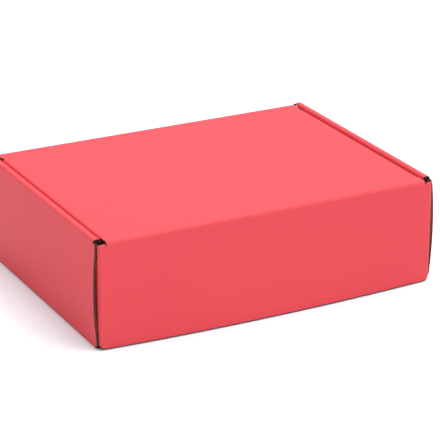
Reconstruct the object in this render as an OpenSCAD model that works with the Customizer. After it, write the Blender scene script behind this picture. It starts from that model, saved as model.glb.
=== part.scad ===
// Roll-end mailer carton with a full front flap, folded from one sheet of thin
// corrugated board. The print is on the outside, so it also shows on the inner
// side walls, which are the outer ones rolled over.
// Millimetres, +Z up, front of the box towards -Y. The origin is the centre of
// the footprint, on the surface the box stands on.

/* [Box] */
// Width over the side walls, measured at their folded top ridges
box_w = 181.4; // [150:0.1:260]
// Depth from the front flap's ends to the back wall
box_d = 131; // [110:0.1:200]
// Height of the lid's top face
box_h = 53.7; // [46:0.1:80]

/* [Board] */
// Thickness of the corrugated board
board_t = 1.4; // [1.1:0.1:1.6]
// Free play between two layers of board that lie side by side
slip = 0.2; // [0.15:0.05:0.3]

/* [Side walls] */
// How far a side wall bulges outwards at half its height
wall_bow = 1.5; // [1.2:0.1:2.5]
// How much higher than the lid the folded ridges stand
ridge_rise = 0.6; // [0:0.1:1.5]
// Distance from the front wall's outer face back to the ridges
ridge_setback = 2.3; // [1.5:0.1:6]
// Radius of the side walls' free corners
wall_corner_r = 2.5; // [1:0.1:4]
// Height below the ridge over which the inner wall steps inwards
liner_step_h = 9; // [6:0.5:14]

/* [Locking tabs] */
// Length of each tab that locks an inner side wall into the base
tab_l = 20; // [10:1:26]
// Distance between the two tabs of one side
tab_pitch = 62; // [40:1:70]
// Play of a tab in its slot, at each side
tab_play = 0.25; // [0.15:0.05:0.5]

/* [Corner flaps] */
// Length of the flaps that the front and back walls turn into the side walls
web_l = 36; // [20:1:44]
// Slope taken off their upper and lower edges
web_taper = 5; // [2:0.5:8]

/* [Lid] */
// Width of the groove between the lid and a ridge
groove_w = 1; // [0.7:0.1:1.6]
// Depth of the lid's side flaps inside the box
side_flap_h = 30; // [15:1:40]
// Distance from the lid's corners to the side flaps
side_flap_setback = 6; // [5:0.5:15]
// Slope taken off the ends of the side flaps
side_flap_taper = 9; // [4:0.5:15]

/* [Front flap] */
// Distance of the flap's ends inside the side walls' outer faces
flap_inset = 0.9; // [0.7:0.1:1.2]
// Gap between the flap and the front wall
flap_gap = 0.3; // [0.2:0.05:0.6]
// How far the middle of the flap's lower edge bulges forwards
flap_bow = 3.3; // [0.5:0.1:5]
// Clearance of the flap's lower edge above the floor
flap_lift = 0.3; // [0.2:0.1:1]
// Play in the fold that the flap turns on
hinge_play = 0.15; // [0.1:0.01:0.2]
// Height of the free ends of the ears that slide into the side walls
ear_tip_h = 6.2; // [4.5:0.1:12]
// Slope of the ears' upper edges
ear_slope = 9; // [4:0.5:14]
// Width and height cut off the flap's lower corners
flap_cut = [2, 2.6];

/* [Hidden] */
$fn = 48;

// Radius at the free corners of flaps and ears
TIP_R = 5;
// Facets of the wide arc that a bulging wall follows
ARC_FN = 360;
// Columns that the bulging front flap is divided into
FLAP_COLUMNS = 24;
// Length over which a folded leaf overlaps the board that it is drawn onto
ROOT = 1.5;
// Gap between the corner flaps and the base
WEB_LIFT = 1;
// How far the rounding of a side wall's corners reaches past its crease
CORNER_PAST = 0.4;
// Small allowance by which a cut runs past the face it opens
PAST = 0.5;

t = board_t;

// Heights
z_lid = box_h - t;
z_ridge = box_h + ridge_rise - t;
wall_h = z_ridge - t;
z_step = z_ridge - liner_step_h;
z_web = t + WEB_LIFT;
web_h = z_step - 2 * slip - z_web;
z_liner = t + slip;

// Places across the width, from the outside inwards
x_wall = box_w / 2;
x_wall_crease = x_wall - t;
x_flap = x_wall - flap_inset;
x_flap_crease = x_flap - t;
x_web = x_flap_crease - slip;
x_web_crease = x_web - t;
x_liner = x_web_crease - slip;
x_ridge_crease = x_web;
x_lid = x_ridge_crease - t - groove_w;
x_lid_crease = x_lid - t;
x_lid_edge = x_lid - slip;

// Places along the depth, from the front backwards
y_flap = -(box_d - flap_bow) / 2;
y_flap_crease = y_flap + t;
y_front = y_flap_crease + flap_gap;
y_front_crease = y_front + t;
y_ridge = y_front + ridge_setback;
y_back = y_flap + box_d;
y_back_crease = y_back - t;

// The fold line that the front flap turns on
y_hinge = y_flap + t / 2;
z_hinge = box_h - t / 2;
// Upper edge of the flap beside the fold
z_shoulder = z_hinge - slip;

// Radius of the arc that a bulging side wall follows
bow_r = (pow(wall_h / 2, 2) + pow(wall_bow, 2)) / (2 * wall_bow);
// Share of the wall's height, at each end, where the bulge leaves no room for an ear
ear_need = x_flap + slip - x_wall_crease;
ear_margin = wall_h * (0.5 - sqrt(0.25 - ear_need / (4 * wall_bow)));
z_ear_low = t + ear_margin;
z_ear_high = z_ridge - ear_margin;
ear_sweep = z_hinge - z_ear_low;
// The ears end where the circle that they sweep reaches the foot of their free ends
z_ear_tip = z_ear_high - ear_slope - ear_tip_h;
y_ear_tip = y_hinge + sqrt(pow(ear_sweep, 2) - pow(z_hinge - z_ear_tip, 2));
// Lean that keeps the lid's side flaps clear of the stepped inner walls
lid_lean = atan((x_lid - (x_liner - t) + 2 * slip) / (z_lid - z_step));

function unit(v) = v / norm(v);

// Arc that rounds the corner b between the neighbours a and c
function corner_arc(a, b, c, r, steps = 6) =
    let (u = unit(a - b), v = unit(c - b))
    let (half = acos(u * v) / 2)
    let (centre = b + unit(u + v) * r / sin(half))
    let (start = b + u * r / tan(half) - centre, end = b + v * r / tan(half) - centre)
    [for (i = [0:steps])
        let (k = i / steps, turn = 180 - 2 * half)
        centre + (start * sin(turn * (1 - k)) + end * sin(turn * k)) / sin(turn)];

// Straight root from low to high at y = 0, with a tapered and rounded free end
function tongue(length, low, high, taper, r) =
    let (p = [[0, low], [0, high], [length, high - taper], [length, low + taper]])
    concat([p[0], p[1]], corner_arc(p[1], p[2], p[3], r), corner_arc(p[2], p[3], p[0], r));

module both_sides() {
    children();
    mirror([1, 0, 0]) children();
}

// Extrudes a drawing in Y and Z along X
module along_x(x, length) {
    translate([x, 0, 0]) rotate([90, 0, 90]) linear_extrude(length) children();
}

// Extrudes a drawing in X and Z along Y
module along_y(y, length) {
    translate([0, y + length, 0]) rotate([90, 0, 0]) linear_extrude(length) children();
}

// Quarter disc that starts at the direction "from": the outside of a sharp fold
module fold(from) {
    rotate(from) intersection() {
        circle(t);
        square(t);
    }
}

// Front or back wall with its foot fold and corner flaps; y = 0 is its inner face
module end_wall(top) {
    translate([-x_web_crease, -t, t]) cube([2 * x_web_crease, t, top - t]);
    along_x(-x_web_crease, 2 * x_web_crease) translate([0, t]) fold(180);
    both_sides() {
        translate([x_web_crease, 0, z_web]) linear_extrude(web_h) fold(-90);
        along_x(x_web_crease, t) polygon(tongue(web_l, z_web, z_web + web_h, web_taper, TIP_R));
    }
}

// Outer side wall: an arc in section, with its free corners rounded off
module bowed_wall() {
    x_centre = x_wall + wall_bow - bow_r;
    inner_r = norm([x_wall_crease - x_centre, wall_h / 2]);
    intersection() {
        along_y(y_front, y_back - y_front) intersection() {
            translate([x_centre, t + wall_h / 2]) difference() {
                circle(bow_r, $fn = ARC_FN);
                circle(inner_r, $fn = ARC_FN);
            }
            translate([x_wall_crease - t, t]) square([2 * t + wall_bow + PAST, wall_h]);
        }
        along_x(x_wall_crease - t, 3 * t + wall_bow) wall_outline();
    }
}

// The rounding of each corner ends where it meets the crease, a little before its full quarter
module wall_outline() {
    span = y_back - y_front;
    r = wall_corner_r;
    z_low = t + r - CORNER_PAST;
    z_high = z_ridge - r + CORNER_PAST;
    intersection() {
        translate([y_front, t]) square([span, wall_h]);
        union() {
            translate([y_front + r, t]) square([span - 2 * r, wall_h]);
            translate([y_front, z_low]) square([span, z_high - z_low]);
            for (y = [y_front + r, y_back - r], z = [z_low, z_high])
                translate([y, z]) circle(r);
        }
    }
}

// Folded ridge that joins the outer side wall to the inner one
module ridge_section() {
    translate([x_wall_crease, z_ridge]) fold(0);
    translate([x_ridge_crease, z_ridge]) square([x_wall_crease - x_ridge_crease, t]);
    translate([x_ridge_crease, z_ridge]) fold(90);
}

// Inner side wall: it steps inwards below the ridge, to make room for the ears
module liner_section() {
    polygon([
        [x_ridge_crease, z_ridge], [x_liner, z_step], [x_liner, z_liner],
        [x_liner - t, z_liner], [x_liner - t, z_step], [x_ridge_crease - t, z_ridge]
    ]);
}

// Places one child at each locking tab of the side
module at_tabs() {
    y_mid = (y_front + y_back) / 2;
    for (y = [y_mid - tab_pitch / 2, y_mid + tab_pitch / 2]) translate([0, y, 0]) children();
}

module locking_tab() {
    depth = z_liner - flap_lift;
    translate([x_liner - t, -tab_l / 2, flap_lift]) cube([t, tab_l, depth]);
}

module tab_slot() {
    translate([x_liner - t - tab_play, -tab_l / 2 - tab_play, -PAST])
        cube([t + 2 * tab_play, tab_l + 2 * tab_play, t + 2 * PAST]);
}

module base_panel() {
    span = y_back_crease - y_front_crease;
    difference() {
        translate([-x_wall_crease, y_front_crease, 0]) cube([2 * x_wall_crease, span, t]);
        both_sides() at_tabs() tab_slot();
    }
    both_sides() along_y(y_front_crease, span) translate([x_wall_crease, t]) fold(-90);
}

module tray() {
    liner_end = y_back_crease - slip;
    color("indianred") {
        base_panel();
        translate([0, y_front_crease, 0]) end_wall(z_lid - slip);
        translate([0, y_back_crease, 0]) mirror([0, 1, 0]) end_wall(z_lid);
        both_sides() {
            bowed_wall();
            along_y(y_ridge, y_back - y_ridge) ridge_section();
            along_y(y_ridge, liner_end - y_ridge) liner_section();
            at_tabs() locking_tab();
        }
    }
}

// Side flap of the lid: it hangs from its crease and leans into the box
module lid_side_flap() {
    length = y_back_crease - y_hinge - 2 * side_flap_setback;
    y_start = y_hinge + side_flap_setback;
    depth = side_flap_h * cos(lid_lean);
    intersection() {
        along_y(y_start, length) translate([x_lid_crease, z_lid]) side_flap_section();
        along_x(0, x_lid + PAST) {
            translate([y_start, z_lid]) square([length, t]);
            translate([0, z_lid]) rotate(-90)
                polygon(tongue(depth, y_start, y_start + length, side_flap_taper, TIP_R));
        }
    }
}

// The fold and the leaning board below it, from the crease at the origin
module side_flap_section() {
    steps = 8;
    bend = 90 + lid_lean;
    arc = [for (i = [0:steps]) let (a = 90 - bend * i / steps) t * [cos(a), sin(a)]];
    down = -(side_flap_h + PAST) * [sin(lid_lean), cos(lid_lean)];
    polygon(concat([[0, 0], [-ROOT, 0], [-ROOT, t]], arc, [arc[steps] + down, down]));
}

module lid() {
    span = y_back_crease - y_hinge;
    y_start = y_hinge + side_flap_setback;
    color("lightcoral") {
        difference() {
            along_x(-x_lid_edge, 2 * x_lid_edge) {
                translate([y_hinge, z_lid]) square([span, t]);
                translate([y_back_crease, z_lid]) fold(0);
                translate([y_hinge, z_hinge]) circle(t / 2);
            }
            both_sides() translate([x_lid_crease, y_start, z_lid - PAST])
                cube([t, span - 2 * side_flap_setback, t + 2 * PAST]);
        }
        both_sides() lid_side_flap();
    }
}

// Front panel, straight along its fold and bulging more and more towards its foot
module bulging_panel() {
    z_top = z_hinge - t;
    x_flat = x_flap_crease - ROOT;
    function bulge(x) = flap_bow * max(0, 1 - pow(x / x_flat, 2));
    bulging = [for (i = [0:FLAP_COLUMNS]) x_flat * (2 * i / FLAP_COLUMNS - 1)];
    columns = concat([-x_flap_crease], bulging, [x_flap_crease]);
    corners = [for (x = columns) each [
        [x, y_flap - bulge(x), flap_lift], [x, y_flap_crease - bulge(x), flap_lift],
        [x, y_flap_crease, z_top], [x, y_flap, z_top]
    ]];
    last = 4 * (len(columns) - 1);
    skins = [for (i = [0:len(columns) - 2], k = [0:3])
        let (a = 4 * i + k, b = 4 * i + (k + 1) % 4)
        each [[a, a + 4, b + 4], [a, b + 4, b]]];
    polyhedron(corners, concat(skins, [[0, 1, 2, 3], [last + 3, last + 2, last + 1, last]]));
}

// Ear: its lower edge follows the circle that it sweeps as the flap turns
module ear_outline() {
    crease = [y_flap_crease, z_ear_high];
    tip = [y_ear_tip, z_ear_tip + ear_tip_h];
    top = corner_arc(crease, tip, [tip[0], z_ear_low], TIP_R);
    a_root = asin((y_flap - y_hinge) / ear_sweep);
    a_tip = asin((tip[0] - y_hinge) / ear_sweep);
    sweep = [for (i = [0:16]) let (a = a_tip + (a_root - a_tip) * i / 16)
        [y_hinge + ear_sweep * sin(a), z_hinge - ear_sweep * cos(a)]];
    polygon(concat([[y_flap, z_ear_high], crease], top, sweep));
}

// Fold at the side of the flap, with the ear that runs back from it
module ear() {
    x_root = x_flap_crease - ROOT;
    intersection() {
        translate([0, 0, flap_lift]) linear_extrude(z_shoulder - flap_lift) {
            translate([x_root, y_flap]) square([ROOT, t]);
            translate([x_flap_crease, y_flap_crease]) fold(-90);
            translate([x_flap_crease, y_flap_crease]) square([t, y_ear_tip - y_flap_crease]);
        }
        along_x(x_root, ROOT + t) {
            translate([y_flap, flap_lift]) square([t, z_shoulder - flap_lift]);
            ear_outline();
        }
    }
}

module front_flap() {
    hinge_half = x_lid_edge + 2 * slip;
    color("indianred") difference() {
        union() {
            bulging_panel();
            translate([-x_flap_crease, y_flap, z_hinge - t])
                cube([2 * x_flap_crease, t, z_shoulder - z_hinge + t]);
            both_sides() ear();
        }
        along_x(-hinge_half, 2 * hinge_half) {
            translate([y_hinge, z_hinge]) circle(t / 2 + hinge_play);
            translate([y_hinge, z_lid - hinge_play]) square([t, t]);
        }
        both_sides() along_y(y_flap - PAST, t + 2 * PAST) flap_corner();
    }
}

// Triangle cut off the lower corner of the flap
module flap_corner() {
    slope = flap_cut[1] / flap_cut[0];
    x_foot = x_flap - flap_cut[0] - PAST / slope;
    z_side = flap_lift + flap_cut[1] + PAST * slope;
    polygon([
        [x_foot, flap_lift - PAST], [x_flap + PAST, flap_lift - PAST], [x_flap + PAST, z_side]
    ]);
}

tray();
lid();
front_flap();
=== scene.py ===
"""Coral mailer box of thin corrugated board, closed, on a white table.

Each piece of board is drawn flat with its print side down, as it lies in the die-cut
blank, given its thickness and bare flutes, and then bent along its creases into place.
Lengths are millimetres until a piece is finished.
"""
from math import acos, ceil, cos, degrees, floor, pi, radians, sin, sqrt, tan

import bmesh
import bpy
from mathutils import Matrix, Vector
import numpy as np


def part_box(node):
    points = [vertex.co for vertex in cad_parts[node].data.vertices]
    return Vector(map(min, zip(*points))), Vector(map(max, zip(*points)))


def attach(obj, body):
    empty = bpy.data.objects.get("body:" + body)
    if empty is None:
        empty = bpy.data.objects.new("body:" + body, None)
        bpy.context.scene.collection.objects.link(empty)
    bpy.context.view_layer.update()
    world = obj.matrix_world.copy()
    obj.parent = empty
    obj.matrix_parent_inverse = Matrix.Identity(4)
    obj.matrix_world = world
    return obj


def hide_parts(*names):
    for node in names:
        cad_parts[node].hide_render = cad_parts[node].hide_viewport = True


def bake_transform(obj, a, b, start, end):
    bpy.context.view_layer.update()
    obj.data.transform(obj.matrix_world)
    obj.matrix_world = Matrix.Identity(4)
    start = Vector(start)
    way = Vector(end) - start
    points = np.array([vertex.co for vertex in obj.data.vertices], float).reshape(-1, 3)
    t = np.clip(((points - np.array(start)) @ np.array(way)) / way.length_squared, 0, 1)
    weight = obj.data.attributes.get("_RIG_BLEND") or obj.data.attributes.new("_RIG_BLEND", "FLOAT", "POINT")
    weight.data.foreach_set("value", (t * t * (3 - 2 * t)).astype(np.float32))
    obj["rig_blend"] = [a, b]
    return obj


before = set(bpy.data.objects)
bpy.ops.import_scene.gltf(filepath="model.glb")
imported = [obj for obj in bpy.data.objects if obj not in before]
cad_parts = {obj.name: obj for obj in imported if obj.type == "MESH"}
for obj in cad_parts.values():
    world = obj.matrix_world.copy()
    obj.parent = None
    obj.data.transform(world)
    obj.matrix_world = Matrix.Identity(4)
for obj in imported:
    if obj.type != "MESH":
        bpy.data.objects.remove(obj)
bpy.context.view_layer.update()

MM = 0.001
tray_low, tray_high = (Vector(corner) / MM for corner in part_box("tray"))
lid_low, lid_high = (Vector(corner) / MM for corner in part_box("lid"))
flap_low, flap_high = (Vector(corner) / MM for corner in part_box("front_flap"))

# Board: its thickness, the play between two leaves of it, and the outside of its folds
BOARD = 1.4
SLIP = 0.2
FOLD_R = BOARD + 0.1
FOLD_STEPS = 8
# Edges that turn more than this stay sharp
SHARP = radians(35)

# The two liners and the wavy medium between them, set back from the cut edges
LINER = 0.25
MEDIUM = 0.2
FLUTE_PITCH = 3.39
FLUTE_START = tray_low.y - 0.12 * FLUTE_PITCH
FLUTE_STEPS = 10
RECESS, RECESS_INSET = 1.0, 0.02
# The medium's depth in the blank, outside the board's own, so that it is told apart
MEDIUM_MARK = 5

# Cut edges: width and depth of the rounding that the cutting die presses in
EDGE_RING = 0.5
PRINT_PRESS, KRAFT_PRESS = 0.12, 0.08

# Shape of the box, beyond what the boxes of its nodes say
WALL_BOW = 1.5
RIDGE_SETBACK = 2.3
LINER_STEP_H = 9
GROOVE = 1
WALL_CORNER_R, CORNER_PAST = 2.5, 0.4
TIP_R = 5
WEB_LIFT, WEB_L, WEB_TAPER = 1, 36, 5
TAB_L, TAB_PITCH, TAB_PLAY = 20, 62, 0.25
SIDE_FLAP_SETBACK, SIDE_FLAP_TAPER = 6, 9
FLAP_CUT = (2, 2.6)
LID_SEAM, FLAP_SEAM = 1, 0.1
SLIT = 0.05
BACK_EAR = 1.7
FOOT_TRIM = 0.3
EAR_TIP_H = 6.2
BULGE_POWER = 1.6
# How far the side walls' strip of the blank reaches past the walls' ends
SIDE_MARGIN = 0.5

# Rows of faces that carry the bulges, and steps of the ear's curved end
WALL_ROWS = 14
FLAP_COLUMNS, FLAP_ROWS = 26, 14
EAR_STEPS = 16

# Places across the width
x_wall = tray_high.x - WALL_BOW
x_flap = flap_high.x
x_web = x_flap - BOARD - SLIP
x_ridge = x_web - BOARD
x_lid = x_ridge - GROOVE
x_lid_edge = x_lid - SLIP
x_shoulder = x_lid_edge + 2 * SLIP
x_liner = x_ridge - BOARD - SLIP

# Places along the depth
y_flap = lid_low.y
y_hinge = y_flap + BOARD / 2
y_front, y_back = tray_low.y, tray_high.y
y_ridge = y_front + RIDGE_SETBACK
y_liner_end = y_back - BOARD - SLIP
y_mid = (y_front + y_back) / 2

# Heights
z_top = lid_high.z
z_hinge = z_top - BOARD / 2
z_ridge_top = tray_high.z
z_ridge = z_ridge_top - BOARD
z_step = z_ridge - LINER_STEP_H
z_web = (BOARD + WEB_LIFT, z_step - 2 * SLIP)
z_seam = z_top - FOLD_R - FLAP_SEAM
wall_middle, wall_half = z_ridge / 2 + BOARD / 2, (z_ridge - BOARD) / 2
flap_foot = flap_low.z
flap_bow = y_flap - flap_low.y

# The ears: where the bulging wall leaves room for them, and the circle they sweep
ear_need = x_flap + SLIP - (x_wall - BOARD)
ear_margin = 2 * wall_half * (0.5 - sqrt(0.25 - ear_need / (4 * WALL_BOW)))
z_ear = (BOARD + ear_margin, z_ridge - ear_margin)
ear_sweep = z_hinge - z_ear[0]
y_ear_tip = flap_high.y
z_ear_tip = z_hinge - sqrt(ear_sweep ** 2 - (y_ear_tip - y_hinge) ** 2)


def creases(corners):
    """(flat place, turn) of each fold along a section, and the section's flat length."""
    folds, place, tangent = [], 0.0, 0.0
    for before, corner, after in zip(corners, corners[1:], corners[2:]):
        a, b = Vector(corner) - Vector(before), Vector(after) - Vector(corner)
        turn = a.angle(b)
        place += a.length - tangent - FOLD_R * tan(turn / 2)
        folds.append((place, turn))
        place += FOLD_R * turn
        tangent = FOLD_R * tan(turn / 2)
    return folds, place + b.length - tangent


def start(fold):
    return fold[0]


def end(fold):
    return fold[0] + FOLD_R * fold[1]


# Across the side walls, from the middle of the base
lean_in = (x_ridge - x_liner) / (z_ridge - z_step)
side_folds, side_end = creases([
    (0, 0), (x_wall, 0), (x_wall, z_ridge_top), (x_ridge + lean_in * BOARD, z_ridge_top),
    (x_liner, z_step), (x_liner, BOARD + SLIP),
])
# From the middle of the base backwards, up, over the lid and down the flap
long_folds, long_end = creases([
    (0, 0), (y_back, 0), (y_back, z_top), (y_flap, z_top), (y_flap, flap_foot + FOOT_TRIM),
])
foot_fold, back_fold, front_fold = long_folds
# From the middle of the base forwards and up the front wall
front_folds, front_end = creases([(0, 0), (-y_front, 0), (-y_front, z_top - BOARD - SLIP)])
# Along the front or back wall and round into its corner flap
web_folds, web_end = creases([(0, 0), (x_web, 0), (x_web, BOARD + WEB_L)])
# Across the lid and down its side flap, which leans inwards
lean = (x_lid - x_liner + 2 * SLIP) / (z_top - BOARD - z_step)
side_flap_folds, side_flap_end = creases([
    (0, z_top), (x_lid, z_top), (x_lid - lean * (z_top - lid_low.z), lid_low.z),
])
# Along the front flap and round into its ear
ear_folds, _ = creases([(0, 0), (x_flap, 0), (x_flap, y_ear_tip - y_flap)])


def arc(centre, r, a0, a1, steps=6):
    """Points along an arc, between two angles in degrees."""
    angles = [radians(a0 + (a1 - a0) * i / steps) for i in range(steps + 1)]
    return [(centre[0] + r * cos(a), centre[1] + r * sin(a)) for a in angles]


def tongue(x, x_end, y0, y1, taper, r=TIP_R):
    """A leaf from y0 to y1 at x that tapers to a rounded free end."""
    slope = Vector((x_end - x, taper)).normalized()
    turn = acos(slope.y)
    run = r * tan(turn / 2)
    bend = degrees(turn)
    low = (x_end - r, y0 + taper + run)
    high = (x_end - r, y1 - taper - run)
    return (
        [(x, y0)] + arc(low, r, -bend, 0) + arc(high, r, 0, bend) + [(x, y1)]
    )


def everything(bm):
    return bm.verts[:] + bm.edges[:] + bm.faces[:]


def cut_across(bm, axis, places):
    """Cuts the faces along straight lines, without parting them."""
    across = Vector((1, 0, 0)) if axis == 0 else Vector((0, 1, 0))
    for place in places:
        bmesh.ops.bisect_plane(
            bm, geom=everything(bm), dist=1e-4, plane_co=across * place, plane_no=across,
        )


def ring(bm, width):
    """Rings the outline with faces of this width."""
    return bmesh.ops.inset_region(
        bm, faces=bm.faces[:], thickness=width, use_boundary=True, use_even_offset=True,
    )["faces"]


class Sheet:
    """A piece of the blank, drawn flat as the outline of its right half."""

    def __init__(self, outline, seams=(), holes=()):
        self.bm = bmesh.new()
        self.seams = seams
        self.bm.faces.new([self.bm.verts.new((x, y, 0)) for x, y in outline])
        for x0, x1, y0, y1 in holes:
            cut_across(self.bm, 0, (x0, x1))
            cut_across(self.bm, 1, (y0, y1))
            inside = [
                f for f in self.bm.faces
                if x0 < f.calc_center_median().x < x1 and y0 < f.calc_center_median().y < y1
            ]
            bmesh.ops.delete(self.bm, geom=inside, context="FACES")
        bmesh.ops.mirror(self.bm, geom=everything(self.bm), axis="X", merge_dist=1e-3)
        bmesh.ops.recalc_face_normals(self.bm, faces=self.bm.faces[:])
        self.bm.normal_update()
        upwards = [f for f in self.bm.faces if f.normal.z > 0]
        bmesh.ops.reverse_faces(self.bm, faces=upwards)
        self.bm.normal_update()

    def on_seam(self, edge):
        """Whether an edge of the outline meets the next piece, or is the end of a slit."""
        if edge.calc_length() < 2 * SLIT:
            return True
        return any(all(abs(v.co.y - y) < 1e-3 for v in edge.verts) for y in self.seams)

    def is_cut(self, vert):
        """1 for a point on an edge that the die cuts, 0 for any other."""
        return float(any(e.is_boundary and not self.on_seam(e) for e in vert.link_edges))

    def lay(self, bm):
        """Notes where each point lies in the blank, and whether it is on a cut edge."""
        place = bm.verts.layers.float_vector.new("blank")
        edge = bm.verts.layers.float.new("cut_edge")
        for v in bm.verts:
            v[place] = v.co
            v[edge] = self.is_cut(v)

    def flutes(self, rows):
        """The wavy medium along the cut edges."""
        wave = self.bm.copy()
        kept = {f for f in ring(wave, RECESS) if not any(self.on_seam(e) for e in f.edges)}
        inner = [f for f in wave.faces if f not in kept]
        bmesh.ops.delete(wave, geom=inner, context="FACES")
        self.lay(wave)
        step = FLUTE_PITCH / FLUTE_STEPS
        heights = [(v.co.y - FLUTE_START) / step for v in wave.verts]
        crests = [FLUTE_START + i * step for i in range(floor(min(heights)), ceil(max(heights)))]
        for axis, places in ((1, crests), (0, rows[0]), (1, rows[1])):
            cut_across(wave, axis, places)
        # The crests reach just into the liners
        swing = BOARD / 2 - LINER - MEDIUM / 2 + 0.02
        place = wave.verts.layers.float_vector["blank"]
        for v in wave.verts:
            v.co.z = (BOARD - MEDIUM) / 2
            v.co.z += swing * sin(2 * pi * (v.co.y - FLUTE_START) / FLUTE_PITCH)
            v[place] = (v.co.x, v.co.y, MEDIUM_MARK)
        bmesh.ops.solidify(wave, geom=wave.faces[:], thickness=MEDIUM)
        return wave

    def board(self, rows):
        """Gives the sheet its thickness, its cut edges rounded in by the die and its bare flutes."""
        wave = self.flutes(rows)
        ring(self.bm, EDGE_RING)
        self.lay(self.bm)
        cut_across(self.bm, 0, both([x_lid_edge - 2 * EDGE_RING]))
        for axis, places in enumerate(rows):
            cut_across(self.bm, axis, places)
        place = self.bm.verts.layers.float_vector["blank"]
        edge = self.bm.verts.layers.float["cut_edge"]
        print_side = set(self.bm.verts)
        # A cut across a seam has mixed the marks of its two ends
        for v in print_side:
            if v.is_boundary:
                v[edge] = self.is_cut(v)
        bmesh.ops.solidify(self.bm, geom=self.bm.faces[:], thickness=BOARD)
        for v in self.bm.verts:
            on_print = v in print_side
            v[place] = (v.co.x, v.co.y, 0 if on_print else BOARD)
            v.co.z = PRINT_PRESS * v[edge] if on_print else BOARD - KRAFT_PRESS * v[edge]
        self.bm.normal_update()
        rim = [f for f in self.bm.faces if abs(f.normal.z) < 0.5 and all(v[edge] for v in f.verts)]
        corners = set(self.bm.verts)
        for inset, depth in ((LINER, 0), (RECESS_INSET, -RECESS)):
            bmesh.ops.inset_region(
                self.bm, faces=rim, thickness=inset, depth=depth, use_even_offset=True,
                use_boundary=True,
            )
        for v in self.bm.verts:
            if v not in corners:
                v[place] = (v.co.x, v.co.y, v.co.z)
        joined = bpy.data.meshes.new("flutes")
        wave.to_mesh(joined)
        self.bm.from_mesh(joined)
        bpy.data.meshes.remove(joined)
        wave.free()

    def bend(self, axis, folds, where=lambda x, y: True):
        """Bends the board up along the creases across an axis, the last crease first."""
        place = self.bm.verts.layers.float_vector["blank"]
        for v in self.bm.verts:
            flat = v[place]
            if not where(abs(flat.x), flat.y):
                continue
            side = -1 if flat[axis] < 0 else 1
            out, up = side * v.co[axis], v.co.z
            for at, turn in reversed(folds):
                past = side * flat[axis] - at
                if past <= 0:
                    continue
                a = min(past / FOLD_R, turn)
                straight = past - FOLD_R * a and out - at - FOLD_R * a
                out, up = (
                    at + (FOLD_R - up) * sin(a) + straight * cos(a),
                    FOLD_R - (FOLD_R - up) * cos(a) + straight * sin(a),
                )
            v.co[axis], v.co.z = side * out, up

    def finish(self, name, body, *nodes):
        """The sheet as a finished piece in metres."""
        bm = self.bm
        bmesh.ops.transform(bm, matrix=Matrix.Scale(MM, 4), verts=bm.verts[:])
        bm.normal_update()
        for f in bm.faces:
            f.smooth = True
        for e in bm.edges:
            e.smooth = len(e.link_faces) == 2 and e.calc_face_angle(0) < SHARP
        mesh = bpy.data.meshes.new(name)
        bm.to_mesh(mesh)
        bm.free()
        obj = bpy.data.objects.new(name, mesh)
        bpy.context.scene.collection.objects.link(obj)
        mesh.materials.append(board_material)
        shade = obj.modifiers.new("face_weighted", "WEIGHTED_NORMAL")
        shade.keep_sharp = True
        if nodes:
            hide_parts(*nodes)
        if body:
            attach(obj, body)
        return obj


def rows_of(folds):
    """Lines across the board that let it bend round its folds."""
    return [
        at + FOLD_R * turn * i / FOLD_STEPS
        for at, turn in folds for i in range(FOLD_STEPS + 1)
    ]


def both(places):
    return [-p for p in places] + list(places)


def spread(low, high, parts):
    return [low + (high - low) * i / parts for i in range(parts + 1)]


class Socket:
    """A shader value that can be added, multiplied and so on."""

    def __init__(self, tree, out):
        self.tree, self.out = tree, out

    def node(self, kind, settings=(), **values):
        made = self.tree.nodes.new(kind)
        for name, value in dict(settings).items():
            setattr(made, name, value)
        for name, value in values.items():
            socket = made.inputs[int(name[1:])] if name[0] == "_" else made.inputs[name]
            if isinstance(value, Socket):
                self.tree.links.new(value.out, socket)
            else:
                socket.default_value = value
        return made

    def pick(self, made, output=0):
        return Socket(self.tree, made.outputs[output])

    def maths(self, operation, a, b=0.0, c=0.0):
        return self.pick(self.node("ShaderNodeMath", {"operation": operation}, _0=a, _1=b, _2=c))

    def __add__(self, other):
        return self.maths("ADD", self, other)

    def __rsub__(self, other):
        return self.maths("SUBTRACT", other, self)

    def __mul__(self, other):
        return self.maths("MULTIPLY", self, other)

    __radd__ = __add__
    __rmul__ = __mul__

    def sine(self):
        return self.maths("SINE", self)

    def ramp(self, low, high):
        """0 below low and 1 above high, smooth between."""
        return self.pick(self.node(
            "ShaderNodeMapRange", {"interpolation_type": "SMOOTHSTEP"}, _0=self, _1=low, _2=high,
        ))

    def mix(self, a, b):
        """Colour a where this is 0 and colour b where it is 1."""
        made = self.node("ShaderNodeMix", {"data_type": "RGBA"}, _0=self)
        for socket, colour in ((made.inputs[6], a), (made.inputs[7], b)):
            if isinstance(colour, Socket):
                self.tree.links.new(colour.out, socket)
            else:
                socket.default_value = (*colour, 1)
        return self.pick(made, 2)

    def noise(self, scale, detail=2.0, roughness=0.5):
        return self.pick(self.node(
            "ShaderNodeTexNoise", Vector=self, Scale=scale, Detail=detail, Roughness=roughness,
        ))

    def times(self, factors):
        made = self.node("ShaderNodeVectorMath", {"operation": "MULTIPLY"}, _0=self, _1=factors)
        return self.pick(made)


def new_material(name):
    material = bpy.data.materials.new(name)
    material.use_nodes = True
    tree = material.node_tree
    shader = tree.nodes["Principled BSDF"]
    return material, tree, shader


# Colours of the print, plain and with a painted highlight along its cut edges, and of the papers, dark to
# light; the bare edges and the wavy paper carry painted shade and painted red bounce light
CORAL, CORAL_HIGHLIGHT = (0.71, 0.0625, 0.077), (0.62, 0.19, 0.21)
KRAFT, KRAFT_SPECK = ((0.3, 0.165, 0.083), (0.47, 0.29, 0.16)), (0.16, 0.085, 0.045)
RAW_EDGE_SHADE = ((0.035, 0.009, 0.008), (0.08, 0.026, 0.02))
WAVY_PAPER_SHADED = ((0.11, 0.037, 0.028), (0.2, 0.078, 0.057))
BLACK = (0.0, 0.0, 0.0)


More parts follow.
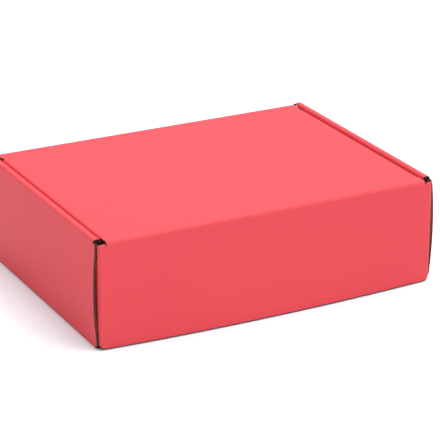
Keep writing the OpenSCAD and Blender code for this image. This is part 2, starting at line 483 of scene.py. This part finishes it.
def make_board():
    """Coral print over flutes that show through it, with a painted highlight along the cut edges; kraft
    inside, and at the bare edges kraft under painted shade and painted red bounce light.
    """
    material, tree, shader = new_material("printed_board")
    base = Socket(tree, None)
    blank = base.pick(base.node("ShaderNodeAttribute", {"attribute_name": "blank"}), 1)
    edge = base.pick(base.node("ShaderNodeAttribute", {"attribute_name": "cut_edge"}), 2)
    parts = base.node("ShaderNodeSeparateXYZ", Vector=blank)
    y, depth = base.pick(parts, 1), base.pick(parts, 2)

    printed = 1 - depth.ramp(0.02, 0.1)
    washboard = (y * (2 * pi / FLUTE_PITCH)).sine() * 0.5 + 0.5

    grain = blank.noise(1.3, 4)
    patch = blank.noise(0.025, 2)
    fibre = blank.times((0.35, 2.5, 1)).noise(1.0, 5, 0.65)
    speck = blank.noise(3.5, 2).ramp(0.66, 0.74)

    tone = 0.91 + patch * 0.05 + washboard * 0.014 + grain * 0.015
    coral = tone.mix(BLACK, CORAL)
    # Painted highlight: a paler coral along the cut edges, where the rim that the die rounds in would catch
    # the light
    edge_highlight = edge.ramp(0.2, 1.0) * (0.35 + 0.3 * blank.noise(0.4, 3))
    coral = edge_highlight.mix(coral, CORAL_HIGHLIGHT)
    kraft = fibre.mix(*KRAFT)
    kraft = (speck * 0.35).mix(kraft, KRAFT_SPECK)
    medium = depth.ramp(BOARD + 0.5, MEDIUM_MARK - 0.5)
    # The bare cut edges and their recesses: kraft painted nearly black-red, as painted shade and painted red
    # bounce light
    bare_edge_shade = depth.ramp(0.02, 0.06) * (1 - depth.ramp(BOARD - 0.02, BOARD))
    kraft = bare_edge_shade.mix(kraft, fibre.mix(*RAW_EDGE_SHADE))
    # The wavy medium: kraft brown, darkened and reddened with painted shade and painted red bounce light
    kraft = medium.mix(kraft, fibre.mix(*WAVY_PAPER_SHADED))
    tree.links.new(printed.mix(kraft, coral).out, shader.inputs["Base Color"])

    rough = printed * -0.34 + 0.86 + grain * 0.06
    tree.links.new(rough.out, shader.inputs["Roughness"])
    shader.inputs["Specular IOR Level"].default_value = 0.18
    relief = washboard * 0.018 + grain * (0.008 + (1 - printed) * 0.012)
    bump = base.node("ShaderNodeBump", Height=relief, Distance=MM, Strength=1.0)
    tree.links.new(bump.outputs[0], shader.inputs["Normal"])
    return material


board_material = make_board()

# The tray: base, walls, corner flaps, ridges, inner walls and locking tabs
wall_start, wall_end = end(side_folds[0]), start(side_folds[1])
ridge_end = end(side_folds[2])
x_corner = start(web_folds[0])
base_front, base_back = -start(front_folds[0]), start(foot_fold)


def up_front(z):
    return -(end(front_folds[0]) + z - FOLD_R)


def up_back(z):
    return end(foot_fold) + z - FOLD_R


def tab(y):
    reach = side_end + BOARD + SLIP - flap_foot
    low, high = y - TAB_L / 2, y + TAB_L / 2
    return [(side_end, low), (reach, low), (reach, high), (side_end, high)]


r = WALL_CORNER_R
cut_short = degrees(acos((r - CORNER_PAST) / r))
low_in, high_in = wall_start + r - CORNER_PAST, wall_end - r + CORNER_PAST
web = tongue(x_corner, web_end, up_back(z_web[0]), up_back(z_web[1]), WEB_TAPER)
front_web = [(x, up_front(y - up_back(0))) for x, y in reversed(web)]
tray_outline = (
    [(0, -front_end), (x_corner, -front_end)] + front_web
    + [(x_corner, base_front), (wall_start, base_front)]
    + arc((low_in, y_front + r), r, 180 + cut_short, 270)
    + arc((high_in, y_front + r), r, 270, 360 - cut_short)
    + [(wall_end, y_ridge), (side_end, y_ridge)]
    + tab(y_mid - TAB_PITCH / 2) + tab(y_mid + TAB_PITCH / 2)
    + [(side_end, y_liner_end), (ridge_end, y_liner_end), (ridge_end, y_back)]
    + arc((low_in, y_back - r), r, 90, 180 - cut_short)
    + [(wall_start, base_back), (x_corner, base_back)] + web
    + [(x_corner, start(back_fold) + BACK_EAR), (x_lid_edge + SLIT, start(back_fold) + BACK_EAR)]
    + [(x_lid_edge + SLIT, start(back_fold)), (0, start(back_fold))]
)
slots = [
    (
        x_liner - TAB_PLAY, x_liner + BOARD + TAB_PLAY,
        y - TAB_L / 2 - TAB_PLAY, y + TAB_L / 2 + TAB_PLAY,
    )
    for y in (y_mid - TAB_PITCH / 2, y_mid + TAB_PITCH / 2)
]


def past_side(x, y):
    """Whether a point of the blank is beyond the ends of that strip."""
    return not y_front - SIDE_MARGIN < y < y_back + SIDE_MARGIN


def in_side(x, y):
    """Whether a point of the blank is in the strip of the side walls."""
    return x > start(side_folds[0]) and not past_side(x, y)


tray = Sheet(tray_outline, seams=[start(back_fold)], holes=slots)
tray.board((
    both(rows_of(side_folds) + rows_of(web_folds) + spread(wall_start, wall_end, WALL_ROWS)),
    [-row for row in rows_of(front_folds)] + rows_of([foot_fold]),
))
tray.bend(0, side_folds, in_side)
tray.bend(0, web_folds, past_side)
tray.bend(1, front_folds, lambda x, y: y < 0 and not in_side(x, y))
tray.bend(1, [foot_fold], lambda x, y: y > 0 and not in_side(x, y))
place = tray.bm.verts.layers.float_vector["blank"]
for v in tray.bm.verts:
    flat = v[place]
    if in_side(abs(flat.x), flat.y) and wall_start < abs(flat.x) < wall_end:
        bulge = WALL_BOW * max(0, 1 - ((v.co.z - wall_middle) / wall_half) ** 2)
        v.co.x += bulge if flat.x > 0 else -bulge
tray.finish("tray_board", "box", "tray")

# The lid with its back fold and side flaps
lid_front, lid_back = start(front_fold) - LID_SEAM, start(back_fold)
x_hang = start(side_flap_folds[0])


def over(y):
    return end(back_fold) + y_back - FOLD_R - y


hang_front = over(y_hinge + SIDE_FLAP_SETBACK)
hang_back = over(y_back - BOARD - SIDE_FLAP_SETBACK)
hang = tongue(x_hang, side_flap_end, hang_back, hang_front, SIDE_FLAP_TAPER)
lid_outline = (
    [(0, lid_back), (x_lid_edge, lid_back), (x_lid_edge, hang_back - SLIT)]
    + [(x_hang, hang_back - SLIT)] + hang
    + [(x_hang, hang_front + SLIT), (x_lid_edge, hang_front + SLIT)]
    + [(x_lid_edge, lid_front), (0, lid_front)]
)
slits = [hang_back - SLIT, hang_back, hang_front, hang_front + SLIT]
lid = Sheet(lid_outline, seams=[lid_back, lid_front] + slits)
lid.board((both(rows_of(side_flap_folds)), rows_of([back_fold])))
lid.bend(0, side_flap_folds, lambda x, y: hang_back - 0.01 < y < hang_front + 0.01)
lid.bend(1, long_folds)
lid.finish("lid_board", "box", "lid")

# The fold between lid and front flap
flap_top = end(front_fold) + FLAP_SEAM
fold_outline = [(0, lid_front), (x_lid_edge, lid_front), (x_lid_edge, flap_top), (0, flap_top)]
fold = Sheet(fold_outline, seams=[lid_front, flap_top])
fold.board(([], rows_of([front_fold])))
fold.bend(1, long_folds)
fold = fold.finish("front_fold_board", None)
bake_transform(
    fold, "box", "front_flap",
    start=Vector((0, y_flap + FOLD_R + LID_SEAM, z_top)) * MM,
    end=Vector((0, y_flap, z_seam)) * MM,
)


# The front flap with its ears
def down(z):
    return end(front_fold) + z_top - FOLD_R - z


def ear_flat(y):
    return end(ear_folds[0]) + y - y_flap - FOLD_R


x_ear = end(ear_folds[0])
a_root = (y_flap - y_hinge) / ear_sweep
a_tip = pi / 2 - acos((y_ear_tip - y_hinge) / ear_sweep)
sweep = [
    (ear_flat(y_hinge + ear_sweep * sin(a)), down(z_hinge - ear_sweep * cos(a)))
    for a in spread(a_root, a_tip, EAR_STEPS)
]
sweep = [(x_ear, down(z_ear[0]))] + [p for p in sweep if p[0] > x_ear]
tip = ear_flat(y_ear_tip)
tip_top = down(z_ear_tip + EAR_TIP_H)
ear_top = tongue(x_ear, tip, down(z_ear[1]), 0, tip_top - down(z_ear[1]))
# Its lower half gives way to the circle that the ear sweeps
ear_top = ear_top[:len(ear_top) // 2]
flap_outline = (
    [(0, flap_top), (x_shoulder, flap_top), (x_shoulder, down(z_hinge - SLIP))]
    + [(x_ear, down(z_hinge - SLIP))] + ear_top + list(reversed(sweep))
    + [(x_ear, down(flap_foot + FLAP_CUT[1])), (x_flap - FLAP_CUT[0], long_end)]
    + [(0, long_end)]
)
x_bulge = start(ear_folds[0])
flap = Sheet(flap_outline, seams=[flap_top])
flap.board((
    both(rows_of(ear_folds)) + spread(-x_bulge, x_bulge, FLAP_COLUMNS)[1:-1],
    rows_of([front_fold]) + spread(flap_top, long_end, FLAP_ROWS)[1:-1],
))
flap.bend(0, ear_folds)
flap.bend(1, long_folds)
for v in flap.bm.verts:
    if v.co.z < z_seam and abs(v.co.x) < x_bulge and v.co.y < y_flap + 2 * BOARD:
        share = (z_seam - v.co.z) / (z_seam - flap_foot)
        v.co.y -= flap_bow * (1 - (v.co.x / x_bulge) ** 2) * share ** BULGE_POWER
flap.finish("front_flap_board", "front_flap", "front_flap")

# Table, in metres as the light and the camera are
TABLE_HALF = 6
floor_mesh = bpy.data.meshes.new("table")
table_top = bmesh.new()
bmesh.ops.create_grid(table_top, x_segments=1, y_segments=1, size=TABLE_HALF)
table_top.to_mesh(floor_mesh)
table_top.free()
table = bpy.data.objects.new("table", floor_mesh)
bpy.context.scene.collection.objects.link(table)
table_material, table_tree, table_shader = new_material("white_table")
table_shader.inputs["Base Color"].default_value = (0.82, 0.87, 0.91, 1)
table_shader.inputs["Roughness"].default_value = 0.8
table_shader.inputs["Specular IOR Level"].default_value = 0.2
floor_mesh.materials.append(table_material)

# A broad soft light from above on the right, under a sky that is brightest overhead
KEY_ENERGY, KEY_SPREAD, KEY_FROM = 1.6, radians(60), (1.0, -0.25, 1.7)
SKY_LEVEL, SKY_OVERHEAD, SKY_RIGHT = 0.22, 1.65, 0.32
sun = bpy.data.lights.new("key", "SUN")
sun.energy, sun.angle = KEY_ENERGY, KEY_SPREAD
key = bpy.data.objects.new("key", sun)
key.rotation_euler = Vector(KEY_FROM).to_track_quat("Z", "Y").to_euler()
bpy.context.scene.collection.objects.link(key)

world = bpy.data.worlds.new("studio")
bpy.context.scene.world = world
world.use_nodes = True
background = world.node_tree.nodes["Background"]
background.inputs["Color"].default_value = (1, 1, 1, 1)
sky = Socket(world.node_tree, None)
direction = sky.pick(sky.node("ShaderNodeTexCoord"), 0)
parts = sky.node("ShaderNodeSeparateXYZ", Vector=direction)
strength = SKY_LEVEL + SKY_OVERHEAD * sky.pick(parts, 2) + SKY_RIGHT * sky.pick(parts, 0)
world.node_tree.links.new(strength.out, background.inputs["Strength"])

# Camera, at the place and with the lens that the photo's own edges give
CAMERA_PLACE = (-0.46415, -0.89279, 0.42886)
CAMERA_RIGHT, CAMERA_FORWARD = (0.88537, -0.46488, 0.00324), (0.43268, 0.82145, -0.37149)
camera_data = bpy.data.cameras.new("camera")
camera_data.sensor_width = 36
camera_data.lens = 177.8
camera_data.clip_start, camera_data.clip_end = 0.05, 20
camera = bpy.data.objects.new("camera", camera_data)
right, forward = Vector(CAMERA_RIGHT).normalized(), Vector(CAMERA_FORWARD).normalized()
upward = right.cross(forward).normalized()
right = forward.cross(upward)
camera.matrix_world = (
    Matrix.Translation(CAMERA_PLACE)
    @ Matrix((right, upward, -forward)).transposed().to_4x4()
)
bpy.context.scene.collection.objects.link(camera)
bpy.context.scene.camera = camera
bpy.context.scene.view_settings.view_transform = "Standard"
